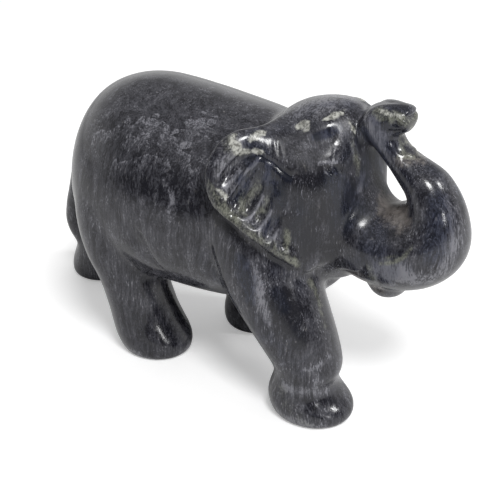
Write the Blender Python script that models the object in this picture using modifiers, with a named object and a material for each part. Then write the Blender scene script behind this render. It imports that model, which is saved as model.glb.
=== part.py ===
"""A small walking elephant with its trunk raised, carved and polished from one block of dark stone.

Axes: +X towards the trunk, +Y to the animal's left, +Z up. The four soles stand on z = 0.
Every length in the tables is in millimetres; MM turns them into metres.
"""

import math

import bmesh
import bpy
import numpy as np
from mathutils import Matrix, Vector

MM = 0.001
NODE = "carved_elephant"
STONE_COLOUR = (0.060, 0.058, 0.068, 1.0)

RING_POINTS = 40  # points round a section
SPAN_STEPS = 6  # sections made between two stations
VOXEL = 0.7  # grain of the skin that joins the masses
POLISH_PASSES = 20
FINAL_FACES = 9850
FACE_CARE = 6e-4  # how strongly the carved ears keep their faces when the skin is thinned out
CENTRE_X = -6.25  # middle of the elephant's length in the coordinates of the tables

# Torso, tail end to neck: x, top z, bottom z, half width, height of the widest point
TORSO = [
    (-48.4, 46.6, 36.5, 3.2, 42.0),
    (-47.2, 55.2, 30.5, 10.0, 42.0),
    (-43.6, 62.5, 26.0, 15.7, 42.0),
    (-37.5, 67.3, 22.5, 20.6, 42.0),
    (-29.0, 69.8, 20.0, 23.8, 41.0),
    (-19.0, 69.5, 19.0, 25.3, 41.0),
    (-6.0, 68.2, 19.0, 25.0, 41.0),
    (5.0, 66.9, 20.0, 23.4, 41.0),
    (14.0, 64.4, 22.0, 20.3, 42.0),
    (21.0, 58.0, 24.2, 15.0, 42.0),
    (26.0, 50.0, 28.8, 8.0, 41.0),
]

# Head, nape to face: the same columns
HEAD = [
    (6.0, 60.0, 46.0, 8.0, 54.0),
    (9.0, 67.3, 42.0, 13.0, 54.0),
    (14.0, 71.5, 38.0, 16.0, 54.0),
    (21.0, 73.6, 30.0, 17.0, 54.0),
    (27.0, 73.5, 30.4, 15.9, 52.0),
    (30.0, 71.6, 31.8, 13.0, 50.0),
    (31.5, 68.6, 33.2, 10.4, 49.0),
    (32.4, 63.0, 34.5, 7.0, 48.0),
    (33.0, 56.5, 37.0, 3.0, 46.0),
]

# Trunk along its path: x, z, half thickness in the plane of the loop, half width across
TRUNK = [
    (24.4, 62.0, 7.6, 8.6),
    (25.4, 53.4, 8.6, 10.2),
    (31.2, 43.8, 9.2, 11.8),
    (40.6, 41.6, 9.6, 11.2),
    (47.6, 44.8, 9.0, 10.3),
    (48.8, 51.3, 6.9, 8.0),
    (46.5, 57.5, 5.2, 6.4),
    (42.6, 60.7, 3.9, 5.2),
    (38.8, 63.8, 2.9, 4.7),
    (36.0, 67.1, 3.2, 5.0),
    (34.2, 70.4, 4.5, 5.5),
    (36.9, 72.2, 3.2, 4.9),
    (41.6, 72.5, 3.2, 4.1),
]

# Rounded lumps: centre x, z and half sizes x, y, z
LUMPS = {
    "lower lip": (38.3, 33.6, 5.4, 5.5, 5.6),
    "rest of the trunk on the brow": (33.4, 69.6, 3.4, 3.4, 4.4),
    "bend of the trunk": (42.0, 47.0, 6.2, 8.2, 5.9),
}

# Legs, top to sole: z, x, y outwards, half length, half width
LEGS = {
    "front_right": [
        (52.0, 6.0, 10.0, 14.0, 12.0),
        (42.0, 9.5, 12.0, 14.5, 12.2),
        (31.0, 15.6, 14.0, 12.1, 11.3),
        (20.0, 22.4, 14.5, 9.6, 10.1),
        (13.0, 25.8, 14.4, 8.1, 8.8),
        (9.5, 25.0, 14.3, 7.6, 8.6),
        (6.0, 25.1, 14.2, 8.9, 9.3),
        (3.0, 26.8, 14.1, 10.7, 9.6),
        (0.0, 27.0, 14.1, 9.4, 8.3),
        (-4.0, 27.0, 14.1, 7.0, 6.3),
    ],
    "rear_right": [
        (52.0, -30.5, 8.5, 11.0, 11.0),
        (40.0, -30.2, 11.5, 12.3, 12.2),
        (29.0, -29.6, 12.5, 10.2, 11.3),
        (20.0, -27.5, 12.4, 8.3, 9.6),
        (12.0, -25.4, 11.9, 8.7, 9.1),
        (6.0, -23.1, 11.7, 9.9, 9.4),
        (3.0, -21.9, 11.6, 10.2, 9.3),
        (0.0, -21.5, 11.5, 8.8, 8.1),
        (-4.0, -21.5, 11.5, 6.8, 6.5),
    ],
    "front_left": [
        (52.0, 4.0, 10.0, 14.0, 12.0),
        (42.0, 3.5, 12.0, 13.5, 12.2),
        (31.0, 1.0, 13.5, 12.0, 11.3),
        (20.0, -2.5, 13.6, 10.0, 10.0),
        (13.0, -4.8, 13.6, 8.7, 9.0),
        (6.0, -6.0, 13.6, 9.1, 9.2),
        (3.0, -6.1, 13.6, 9.4, 9.3),
        (0.0, -6.2, 13.6, 8.6, 8.6),
        (-4.0, -6.2, 13.6, 7.0, 7.0),
    ],
    "rear_left": [
        (52.0, -32.5, 8.5, 11.0, 11.0),
        (40.0, -36.5, 11.5, 12.0, 12.2),
        (29.0, -44.5, 12.5, 10.8, 11.3),
        (20.0, -52.5, 12.8, 9.2, 9.6),
        (12.0, -57.5, 13.0, 8.2, 8.8),
        (6.0, -59.5, 13.0, 8.5, 9.0),
        (3.0, -60.0, 13.0, 9.0, 9.2),
        (0.0, -60.0, 13.0, 8.8, 8.8),
        (-4.0, -60.0, 13.0, 7.5, 7.5),
    ],
}
SIDE = {"right": -1.0, "left": 1.0}

# Ears, crown to tip: the free rim, and the line where the flap leaves the head: x, z, y outwards
EAR_RIM = [
    (12.0, 70.4, 3.0),
    (11.2, 70.0, 8.0),
    (10.8, 69.9, 12.5),
    (9.8, 70.0, 16.5),
    (7.5, 69.2, 20.2),
    (5.1, 66.5, 23.2),
    (3.5, 61.2, 25.7),
    (4.4, 57.0, 26.6),
    (6.5, 52.8, 26.8),
    (12.4, 48.8, 26.2),
    (17.6, 45.2, 24.5),
    (22.4, 41.5, 21.9),
    (26.2, 37.8, 18.0),
]
EAR_ROOT = [
    (20.0, 70.5, 3.0),
    (21.0, 70.0, 8.5),
    (22.0, 68.6, 12.5),
    (22.5, 66.0, 15.0),
    (23.1, 63.0, 16.0),
    (23.5, 60.2, 16.5),
    (24.0, 58.0, 16.8),
    (24.3, 55.8, 17.0),
    (24.6, 53.4, 17.2),
    (24.9, 51.4, 17.5),
    (25.8, 47.6, 17.0),
    (27.4, 44.4, 15.4),
    (28.8, 40.4, 13.2),
]
EAR_DROP = {"right": 0.0, "left": 3.5}  # the left ear sits a little lower
EAR_RIM_RADIUS = 1.4
EAR_HOLLOW = 1.2
EAR_WEDGE = 0.9  # how fast the ear thickens from its rim to its root

# Gouge strokes on both ears, inner end to outer end, in side view: points (x, z), half width, depth
SCOOPS = [
    ([(13.6, 64.4), (10.2, 62.8), (8.2, 58.4)], 1.9, 1.0),
    ([(13.6, 62.4), (11.0, 58.6), (9.8, 54.0)], 1.5, 0.8),
    ([(14.2, 61.6), (12.3, 57.2), (11.6, 52.0)], 1.5, 0.9),
    ([(15.4, 61.0), (14.7, 57.0), (13.4, 51.8)], 1.8, 1.1),
    ([(17.1, 58.4), (16.6, 54.2), (15.6, 49.4)], 1.6, 0.9),
    ([(19.4, 54.2), (19.2, 50.6), (18.4, 46.6)], 1.5, 0.8),
]
# Broad hollows of the head and flanks: the same, then the least distance from the middle plane
HOLLOWS = [
    ([(18.6, 72.5), (19.3, 68.8), (20.8, 65.2)], 2.8, 1.0, 8.0),
    ([(20.6, 65.2), (25.6, 67.4), (31.0, 69.8)], 2.6, 0.8, 7.0),
    ([(-18.8, 43.0), (-15.5, 38.0), (-13.2, 33.5), (-12.0, 29.0)], 2.4, 0.8, 12.0),
    ([(2.6, 46.0), (3.8, 40.0), (5.4, 35.0), (7.8, 29.5)], 2.6, 1.0, 12.0),
]

# Tail along its path: x, y, z, radius
TAIL = [
    (-43.5, 0.0, 50.0, 3.6),
    (-50.0, 0.3, 45.0, 3.0),
    (-54.8, 1.0, 38.5, 2.7),
    (-58.0, 2.2, 31.0, 2.6),
    (-60.8, 3.6, 24.5, 2.7),
    (-62.4, 5.0, 18.5, 2.8),
    (-62.0, 7.0, 12.5, 2.5),
    (-60.0, 9.0, 8.5, 2.0),
]


def smooth_stations(stations, steps=SPAN_STEPS):
    """Rows read off a smooth curve (Catmull-Rom) through the given rows."""
    rows = [np.array(row, dtype=float) for row in stations]
    padded = [2 * rows[0] - rows[1], *rows, 2 * rows[-1] - rows[-2]]
    result = []
    for a, b, c, d in zip(padded, padded[1:], padded[2:], padded[3:]):
        for step in range(steps):
            t = step / steps
            square = (2 * a - 5 * b + 4 * c - d) * t * t
            cube = (3 * b - a - 3 * c + d) * t**3
            result.append(0.5 * (2 * b + (c - a) * t + square + cube))
    result.append(rows[-1])
    return [tuple(float(value) for value in row) for row in result]


def loft(mesh, rings):
    """Adds a closed skin over a list of rings to a bmesh."""
    loops = [[mesh.verts.new(point) for point in ring] for ring in rings]
    for low, high in zip(loops, loops[1:]):
        for i in range(len(low)):
            j = (i + 1) % len(low)
            mesh.faces.new((low[i], low[j], high[j], high[i]))
    mesh.faces.new(reversed(loops[0]))
    mesh.faces.new(loops[-1])


def turn():
    return [2 * math.pi * i / RING_POINTS for i in range(RING_POINTS)]


def upright_rings(stations):
    """Rings across X whose upper and lower halves have their own heights."""
    rings = []
    for x, top, bottom, half_width, middle in smooth_stations(stations):
        ring = []
        for a in turn():
            height = top - middle if math.sin(a) > 0 else middle - bottom
            ring.append((x, half_width * math.cos(a), middle + height * math.sin(a)))
        rings.append(ring)
    return rings


def leg_rings(stations, side):
    """Level rings from the hip or shoulder to the sole."""
    rings = []
    for z, x, y, half_length, half_width in smooth_stations(stations):
        ring = []
        for a in turn():
            ring.append((x + half_length * math.cos(a), side * y + half_width * math.sin(a), z))
        rings.append(ring)
    return rings


def path_rings(rows):
    """Rings square to a path. A row is its point, then the half sizes beside it and across it."""
    rings = []
    for i, (point, beside_size, across_size) in enumerate(rows):
        before, after = rows[max(i - 1, 0)][0], rows[min(i + 1, len(rows) - 1)][0]
        along = (after - before).normalized()
        beside = along.cross(Vector((0, 1, 0))).normalized()
        across = along.cross(beside)
        ring = []
        for a in turn():
            offset = beside * beside_size * math.cos(a) + across * across_size * math.sin(a)
            ring.append(point + offset)
        rings.append(ring)
    return rings


def ear_rings(side, steps=12):
    """One ring a row: out along the face of the ear, round its rim and back beneath it."""
    rings = []
    for rim, root in zip(smooth_stations(EAR_RIM, 4), smooth_stations(EAR_ROOT, 4)):
        start = Vector((root[0], SIDE[side] * root[2], root[1]))
        end = Vector((rim[0], SIDE[side] * rim[2], rim[1] - EAR_DROP[side]))
        along = (end - start).normalized()
        length = (end - start).length - EAR_RIM_RADIUS
        share = min(max((rim[2] - 3.0) / 15.0, 0.0), 1.0)
        inwards = Vector((0, -SIDE[side] * share, share - 1.0)).normalized()
        radius = EAR_RIM_RADIUS
        face, beneath = [], []
        for i in range(steps + 1):
            t = i / steps
            hollow = EAR_HOLLOW * math.sin(math.pi * t) * min(1.0, rim[2] / 16.0)
            point = start + along * length * t
            depth = 2 * radius + EAR_WEDGE * length * (1 - t)
            face.append(point + inwards * hollow)
            beneath.append(point + inwards * min(depth, 12.0))
        turned = [math.radians(a) for a in (30, 60, 90, 120, 150)]
        middle = start + along * length + inwards * radius
        edge = [middle + radius * (along * math.sin(a) - inwards * math.cos(a)) for a in turned]
        rings.append(face + edge + beneath[::-1])
    return rings


def block_out():
    """Every mass of the animal as its own closed skin, overlapping its neighbours."""
    mesh = bmesh.new()
    loft(mesh, upright_rings(TORSO))
    loft(mesh, upright_rings(HEAD))
    trunk = [(Vector((x, 0, z)), thick, wide) for x, z, thick, wide in smooth_stations(TRUNK)]
    loft(mesh, path_rings(trunk))
    tail = [(Vector((x, y, z)), radius, radius) for x, y, z, radius in smooth_stations(TAIL)]
    loft(mesh, path_rings(tail))
    for name, stations in LEGS.items():
        loft(mesh, leg_rings(stations, SIDE[name.split("_")[1]]))
    for side in SIDE:
        loft(mesh, ear_rings(side))
    for x, z, half_x, half_y, half_z in LUMPS.values():
        place = Matrix.Translation((x, 0, z)) @ Matrix.Diagonal((half_x, half_y, half_z, 1))
        bmesh.ops.create_uvsphere(mesh, u_segments=32, v_segments=16, radius=1, matrix=place)
    bmesh.ops.recalc_face_normals(mesh, faces=mesh.faces)
    data = bpy.data.meshes.new("masses")
    mesh.to_mesh(data)
    mesh.free()
    return data


def skin(masses, collection):
    """One polished skin over the masses, as a mesh of its own."""
    blank = bpy.data.objects.new("blank", masses)
    collection.objects.link(blank)
    remesh = blank.modifiers.new("one skin", "REMESH")
    remesh.mode = "VOXEL"
    remesh.voxel_size = VOXEL
    smooth = blank.modifiers.new("polish", "SMOOTH")
    smooth.factor = 0.5
    smooth.iterations = POLISH_PASSES
    graph = bpy.context.evaluated_depsgraph_get()
    data = bpy.data.meshes.new_from_object(blank.evaluated_get(graph))
    data.name = NODE
    bpy.data.objects.remove(blank)
    return data


def read(data, name):
    values = np.empty(len(data.vertices) * 3)
    data.vertices.foreach_get(name, values)
    return values.reshape(-1, 3)


def stroke_distance(points, stroke):
    """Distance in side view to a stroke, and how far along it (0 to 1) the nearest point is."""
    path = np.array(smooth_stations(stroke, 8))
    lengths = np.linalg.norm(np.diff(path, axis=0), axis=1)
    starts = np.concatenate([[0.0], np.cumsum(lengths)])
    best = np.full(len(points), 1e9)
    share = np.zeros(len(points))
    for i, length in enumerate(lengths):
        leg = path[i + 1] - path[i]
        t = np.clip((points - path[i]) @ leg / length**2, 0, 1)
        gap = np.linalg.norm(points - path[i] - t[:, None] * leg, axis=1)
        near = gap < best
        best[near] = gap[near]
        share[near] = ((starts[i] + t * length) / starts[-1])[near]
    return best, share


def carve(points, normals, side, stroke, half_width, depth, least_out, fades):
    """Pushes the skin in along one gouge stroke on one side. A stroke fades at its ends."""
    gap, share = stroke_distance(points[:, [0, 2]], stroke)
    outer = np.clip((side * points[:, 1] - least_out) / 2, 0, 1)
    outer = outer * np.clip((side * normals[:, 1] - 0.1) / 0.3, 0, 1)
    inner_fade, outer_fade = fades
    ends = np.clip(share / inner_fade, 0, 1) * np.clip((1 - share) / outer_fade, 0, 1)
    amount = np.cos(np.clip(gap / half_width, 0, 1) * math.pi / 2) ** 1.5 * ends * depth
    points -= normals * (amount * outer)[:, None]


def carve_details(data):
    points, normals = read(data, "co"), read(data, "normal")
    for side in SIDE:
        for stroke, half_width, depth in SCOOPS:
            lowered = [(x, z - EAR_DROP[side]) for x, z in stroke]
            carve(points, normals, SIDE[side], lowered, half_width, depth, 16.0, (0.5, 0.12))
    for stroke, half_width, depth, least_out in HOLLOWS:
        for sign in (-1.0, 1.0):
            carve(points, normals, sign, stroke, half_width, depth, least_out, (0.35, 0.35))
    points[:, 0] -= CENTRE_X
    data.vertices.foreach_set("co", (points * MM).ravel())
    data.update()


def plain_parts(elephant):
    """A vertex group that is full on the plain body and lower where the carving is fine."""
    points = read(elephant.data, "co") / MM + (CENTRE_X, 0, 0)
    ears = (points[:, 0] > 2) & (points[:, 0] < 31) & (points[:, 2] > 38) & (abs(points[:, 1]) > 14)
    head = (points[:, 0] > 14) & (points[:, 2] > 30) & ~ears
    group = elephant.vertex_groups.new(name="plain")
    for part, fill in ((~ears & ~head, 1.0), (head, 0.8), (ears, 0.3)):
        group.add([int(i) for i in np.flatnonzero(part)], fill, "REPLACE")
    return group.name


def ground_cutter(collection):
    """A slab below the ground, which cuts the four soles flat."""
    mesh = bmesh.new()
    bmesh.ops.create_cube(mesh, size=1.0)
    bmesh.ops.scale(mesh, vec=Vector((200, 120, 20)) * MM, verts=mesh.verts)
    bmesh.ops.translate(mesh, vec=Vector((0, 0, -10)) * MM, verts=mesh.verts)
    data = bpy.data.meshes.new("ground")
    mesh.to_mesh(data)
    mesh.free()
    slab = bpy.data.objects.new("ground", data)
    slab.display_type = "WIRE"
    slab.hide_render = True
    collection.objects.link(slab)
    return slab


def stone():
    material = bpy.data.materials.new("polished_stone")
    material.use_nodes = True
    shader = material.node_tree.nodes["Principled BSDF"]
    shader.inputs["Base Color"].default_value = STONE_COLOUR
    shader.inputs["Roughness"].default_value = 0.22
    return material


def main():
    for obj in list(bpy.data.objects):
        bpy.data.objects.remove(obj)
    carving = bpy.data.collections.new("elephant statue")
    cutters = bpy.data.collections.new("cutters")
    for collection in (carving, cutters):
        bpy.context.scene.collection.children.link(collection)
    data = skin(block_out(), carving)
    carve_details(data)
    data.materials.append(stone())
    elephant = bpy.data.objects.new(NODE, data)
    carving.objects.link(elephant)
    reduce = elephant.modifiers.new("fewer faces", "DECIMATE")
    reduce.ratio = FINAL_FACES / (2 * len(data.polygons))
    reduce.vertex_group = plain_parts(elephant)
    reduce.vertex_group_factor = FACE_CARE
    flat = elephant.modifiers.new("flat soles", "BOOLEAN")
    flat.operation = "DIFFERENCE"
    flat.solver = "EXACT"
    flat.object = ground_cutter(cutters)


main()
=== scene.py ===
"""The look of a small polished stone elephant, carved in one piece, on a pale table."""

import math

import bmesh
import bpy
import numpy as np
from mathutils import Matrix, Vector


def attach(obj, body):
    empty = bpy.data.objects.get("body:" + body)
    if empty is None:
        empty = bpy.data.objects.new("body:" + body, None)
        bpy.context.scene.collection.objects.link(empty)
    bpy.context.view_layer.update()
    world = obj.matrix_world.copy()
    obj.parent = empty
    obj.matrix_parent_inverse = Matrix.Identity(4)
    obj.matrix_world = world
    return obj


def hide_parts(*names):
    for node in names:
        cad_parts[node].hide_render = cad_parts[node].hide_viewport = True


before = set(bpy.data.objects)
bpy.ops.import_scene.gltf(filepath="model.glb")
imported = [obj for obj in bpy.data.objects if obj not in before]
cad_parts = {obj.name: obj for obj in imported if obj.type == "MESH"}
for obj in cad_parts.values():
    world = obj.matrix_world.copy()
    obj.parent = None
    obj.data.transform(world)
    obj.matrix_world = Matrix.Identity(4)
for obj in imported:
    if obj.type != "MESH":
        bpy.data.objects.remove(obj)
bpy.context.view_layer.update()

# The carving
# One block of dark fibrous stone, sawn, ground and gouged into a walking elephant. The surface is
# first laid over the solid as one fine skin, then polished until the flats of the solid are gone.
MM = 0.001
NODE = "carved_elephant"
GRAIN = 0.32  # mm, the spacing of the fine skin
POLISH_BODY = 0.0006  # how firmly the skin is held to the solid while it is polished
POLISH_HEAD = 0.0025
POLISH_EARS = 0.012
POLISH_FLUTES = 0.002
POLISH_ROUNDS = 100
MOST_TRIANGLES = 190000
EAR_DROP = 3.5  # mm, the left ear sits a little lower


def fine_skin(solid):
    """The solid's surface as an even mesh of small squares."""
    source = bmesh.new()
    source.from_mesh(solid.data)
    bmesh.ops.remove_doubles(source, verts=source.verts, dist=1e-6)
    plain = bpy.data.meshes.new("plain")
    source.to_mesh(plain)
    source.free()
    blank = bpy.data.objects.new("blank", plain)
    bpy.context.scene.collection.objects.link(blank)
    remesh = blank.modifiers.new("fine skin", "REMESH")
    remesh.mode = "VOXEL"
    remesh.voxel_size = GRAIN * MM
    graph = bpy.context.evaluated_depsgraph_get()
    skin = bpy.data.meshes.new_from_object(blank.evaluated_get(graph))
    bpy.data.objects.remove(blank)
    return skin


def read(mesh, name):
    """A vector value of every vertex."""
    values = np.empty(len(mesh.vertices) * 3)
    mesh.vertices.foreach_get(name, values)
    return values.reshape(-1, 3)


def edge_ends(mesh):
    ends = np.empty(len(mesh.edges) * 2, dtype=np.int32)
    mesh.edges.foreach_get("vertices", ends)
    return ends.reshape(-1, 2).T


def pull(values, ends, degree):
    """How far each vertex stands out from its neighbours."""
    a, b = ends
    result = values * degree[:, None]
    for axis in range(3):
        column = values[:, axis]
        result[:, axis] -= np.bincount(a, column[b], len(values))
        result[:, axis] -= np.bincount(b, column[a], len(values))
    return result / 4


def polish(places, ends, hold, rounds):
    """Evens the skin out while each point is held to its own place (conjugate gradients)."""
    degree = np.bincount(ends.ravel(), minlength=len(places)).astype(float)
    result = places.copy()
    rest = hold[:, None] * (places - result) - pull(pull(result, ends, degree), ends, degree)
    step, size = rest.copy(), (rest**2).sum()
    for _ in range(rounds):
        moved = hold[:, None] * step + pull(pull(step, ends, degree), ends, degree)
        share = size / (step * moved).sum()
        result += share * step
        rest -= share * moved
        size, last = (rest**2).sum(), size
        step = rest + size / last * step
    return result


def curve(points, steps=8):
    """A smooth line through a few points (Catmull-Rom)."""
    rows = np.array(points, dtype=float)
    padded = np.vstack([2 * rows[0] - rows[1], rows, 2 * rows[-1] - rows[-2]])
    line = []
    for a, b, c, d in zip(padded, padded[1:], padded[2:], padded[3:]):
        for t in np.arange(steps) / steps:
            square, cube = 2 * a - 5 * b + 4 * c - d, 3 * b - a - 3 * c + d
            line.append(0.5 * (2 * b + (c - a) * t + square * t**2 + cube * t**3))
    return np.array(line + [rows[-1]])


def lay_down(line, places):
    """Lays a line on the skin: each of its points goes to the nearest vertex, then is evened out."""
    low, high = line.min(axis=0) - 4, line.max(axis=0) + 4
    close = places[((places > low) & (places < high)).all(axis=1)]
    line = np.array([close[((close - point) ** 2).sum(axis=1).argmin()] for point in line])
    for _ in range(3):
        line[1:-1] = (line[:-2] + 2 * line[1:-1] + line[2:]) / 4
    return line


def reach(places, line, width):
    """The vertices within a width of a line, their distances from it and shares of its length."""
    low, high = line.min(axis=0) - width, line.max(axis=0) + width
    chosen = np.flatnonzero(((places > low) & (places < high)).all(axis=1))
    spots = places[chosen]
    legs = np.diff(line, axis=0)
    lengths = np.linalg.norm(legs, axis=1) + 1e-9
    starts = np.concatenate([[0.0], np.cumsum(lengths)])
    best, share = np.full(len(spots), 1e9), np.zeros(len(spots))
    for first, leg, length, start in zip(line, legs, lengths, starts):
        t = np.clip((spots - first) @ leg / length**2, 0, 1)
        gap = np.linalg.norm(spots - first - t[:, None] * leg, axis=1)
        closer = gap < best
        best[closer] = gap[closer]
        share[closer] = ((start + t * length) / starts[-1])[closer]
    return chosen, best, share


def gouge(gap):
    """The round hollow of a gouge, with crisp edges."""
    return np.clip(1 - gap**2, 0, None)


def rub(gap):
    """A soft hollow or swelling, rubbed with a stone."""
    return np.cos(np.clip(gap, 0, 1) * math.pi / 2) ** 2


def knife(gap):
    """A cut with straight sides."""
    return np.clip(1 - gap, 0, None)


def ramp(values, start, length):
    """0 up to a start, then evenly up to 1 over a length."""
    return np.clip((values - start) / length, 0, 1)


def along(values, share):
    """A value given at even steps along a stroke, or one for the whole stroke."""
    values = np.atleast_1d(values)
    return np.interp(share, np.linspace(0, 1, len(values)), values)


def cut(places, normals, strokes, tool, drop=0.0, sides=(1, -1)):
    """Works strokes into both sides. A stroke is its points, half widths and depths in mm. Where
    strokes meet, the deeper one stands, so that a crisp ridge is left between neighbours."""
    deepest, highest = np.zeros(len(places)), np.zeros(len(places))
    for side in sides:
        for points, widths, depths in strokes:
            line = curve(points) * (1, side, 1)
            if side < 0:
                line = line - (0, 0, drop)
            line = lay_down(line, places)
            chosen, gap, share = reach(places, line, np.max(widths))
            amount = along(depths, share) * tool(gap / along(widths, share))
            deepest[chosen] = np.maximum(deepest[chosen], amount)
            highest[chosen] = np.minimum(highest[chosen], amount)
    return places - normals * (deepest + highest)[:, None]


def even_normals(skin, places, ends, rounds=6):
    """The skin's outward directions, averaged with their neighbours'."""
    skin.vertices.foreach_set("co", (places * MM).ravel())
    skin.update()
    normals = read(skin, "normal")
    degree = np.bincount(ends.ravel(), minlength=len(places)).astype(float)
    for _ in range(rounds):
        normals -= 0.8 * pull(normals, ends, degree)
        normals /= np.linalg.norm(normals, axis=1)[:, None]
    return normals


# Flutes of the right ear, gouged from the head towards the rim
FLUTES = [
    ([(20.5, -18.3, 64.7), (18.2, -19.6, 64.0), (16.6, -20.7, 62.6), (15.3, -21.9, 60.7),
      (14.3, -24.6, 57.8)], (0.9, 1.5, 1.9, 1.9, 1.4), (0.3, 0.7, 0.9, 0.8, 0.3)),
    ([(19.9, -19.4, 62.9), (18.2, -20.7, 61.4), (16.8, -21.8, 59.1), (15.4, -24.2, 55.6)],
     (0.6, 1.1, 1.2, 0.9), (0.2, 0.5, 0.6, 0.2)),
    ([(20.4, -19.4, 62.1), (19.1, -20.2, 60.2), (18.2, -21.2, 57.7), (17.4, -22.4, 55.1),
      (17.6, -24.8, 51.8)], (0.7, 1.3, 1.6, 1.6, 1.2), (0.3, 0.8, 0.9, 0.9, 0.3)),
    ([(21.3, -18.8, 62.4), (21.2, -19.4, 59.7), (20.7, -19.8, 56.8), (20.0, -20.7, 54.3),
      (19.6, -22.4, 52.5)], (0.8, 1.4, 1.8, 1.9, 1.7), (0.3, 0.7, 1.0, 1.3, 1.1)),
    ([(23.3, -18.8, 59.5), (23.4, -19.1, 56.8), (22.9, -19.6, 53.7), (22.4, -20.8, 51.4),
      (22.1, -22.3, 50.1)], (0.6, 1.1, 1.5, 1.5, 1.3), (0.2, 0.5, 0.8, 1.0, 0.8)),
    ([(25.6, -19.0, 54.2), (25.5, -19.2, 51.6), (25.2, -20.3, 49.0), (24.9, -21.8, 47.3)],
     (0.6, 1.1, 1.4, 1.2), (0.15, 0.45, 0.8, 0.7)),
    ([(27.7, -19.0, 50.6), (28.0, -19.4, 47.7), (28.0, -20.7, 45.3)], (0.6, 1.0, 1.0), (0.15, 0.4, 0.5)),
]
# The roll along the ear's top edge, left standing
ROLL = [
    ([(13.1, -24.9, 59.8), (14.1, -23.3, 62.5), (15.2, -21.7, 65.0), (16.6, -19.9, 67.0),
      (18.3, -17.7, 68.0)], 2.4, (0.0, -0.3, -0.5, -0.5, -0.1)),
]
# The cut under the roll, where the ear leaves the head
FOLD = [
    ([(21.1, -18.1, 64.2), (23.2, -17.5, 63.2), (25.3, -17.2, 61.9), (26.8, -17.0, 61.0),
      (27.7, -16.8, 60.6), (28.7, -16.4, 61.2), (29.5, -16.3, 60.0)],
     0.9, (0.3, 0.5, 0.5, 0.5, 0.4, 0.3, 0.0)),
]
# Crisp ridges between the flutes, raised a little
RIDGES = [
    ([(13.4, -23.6, 60.0), (14.3, -22.3, 61.7), (15.0, -21.6, 63.1), (15.8, -21.0, 64.3)],
     0.5, (-0.1, -0.3, -0.3, -0.1)),
    ([(15.4, -22.6, 58.0), (16.2, -21.7, 59.8), (16.8, -21.0, 61.2)], 0.45, (-0.05, -0.25, -0.1)),
    ([(20.4, -18.7, 63.5), (19.8, -19.3, 62.6), (18.2, -20.4, 60.3), (17.1, -21.1, 58.4),
      (16.2, -22.5, 55.8)], 0.45, (-0.1, -0.3, -0.35, -0.3, -0.1)),
    ([(21.8, -19.7, 55.4), (21.2, -20.8, 53.2), (20.7, -22.2, 51.8), (19.6, -23.8, 50.9)],
     0.45, (-0.1, -0.3, -0.3, -0.1)),
    ([(24.3, -19.8, 52.6), (23.7, -21.2, 50.5), (23.0, -22.7, 48.9)], 0.45, (-0.1, -0.3, -0.1)),
    ([(26.5, -20.0, 48.8), (26.1, -20.9, 47.3), (25.4, -21.7, 46.6)], 0.45, (-0.1, -0.3, -0.1)),
]
# Wrinkles of the skin between ear and brow
WRINKLES = [
    ([(21.8, -15.6, 67.4), (22.7, -16.6, 65.6), (23.6, -17.2, 63.6)], 0.6, (0.05, 0.3, 0.1)),
    ([(22.6, -14.4, 67.9), (23.9, -16.0, 65.7), (25.2, -16.8, 63.2)], 0.6, (0.05, 0.3, 0.1)),
    ([(23.4, -13.3, 68.0), (25.1, -15.2, 65.7), (27.0, -16.2, 63.1)], 0.6, (0.05, 0.25, 0.1)),
]
# A shallow dish at the ear's root
EAR_HOLLOW = [
    ([(22.4, -18.4, 62.6), (24.0, -18.3, 59.0), (25.0, -18.6, 55.8)], 2.2, (0.2, 0.5, 0.0)),
]

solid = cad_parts[NODE]
skin = fine_skin(solid)
places = read(skin, "co") / MM
ends = edge_ends(skin)
x, y, z = places.T
ear_share = ramp(np.abs(y), 14.0, 3.0) * ramp(z, 38.0, 4.0) * ramp(x, 8.0, 3.0) * ramp(34.0 - x, 0.0, 4.0)
head_share = ramp(x, 22.0, 8.0) * ramp(z, 26.0, 6.0)
hold = POLISH_BODY + (POLISH_HEAD - POLISH_BODY) * head_share
hold = hold + (POLISH_EARS - hold) * ear_share
for side in (1, -1):
    for points, widths, depths in FLUTES:
        line = curve(points) * (1, side, 1) - (0, 0, EAR_DROP if side < 0 else 0)
        chosen, gap, share = reach(places, line, 4.0)
        fade = ramp(gap, 1.5, 2.0)
        hold[chosen] = np.minimum(hold[chosen], POLISH_FLUTES + (POLISH_EARS - POLISH_FLUTES) * fade)
brow = curve([(26.5, 14.5, 66.0), (30.5, 12.0, 66.5), (34.0, 10.5, 66.5)])
for side in (1, -1):
    chosen, gap, share = reach(places, brow * (1, side, 1), 8.0)
    fade = ramp(gap, 4.0, 4.0)
    hold[chosen] = np.minimum(hold[chosen], POLISH_BODY + (POLISH_HEAD - POLISH_BODY) * fade)
places = polish(places, ends, hold, POLISH_ROUNDS)
normals = even_normals(skin, places, ends)
for strokes, tool in ((ROLL, rub), (EAR_HOLLOW, rub), (FLUTES, gouge), (FOLD, knife), (RIDGES, rub)):
    places = cut(places, normals, strokes, tool, EAR_DROP)
places = cut(places, normals, WRINKLES, rub)

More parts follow.
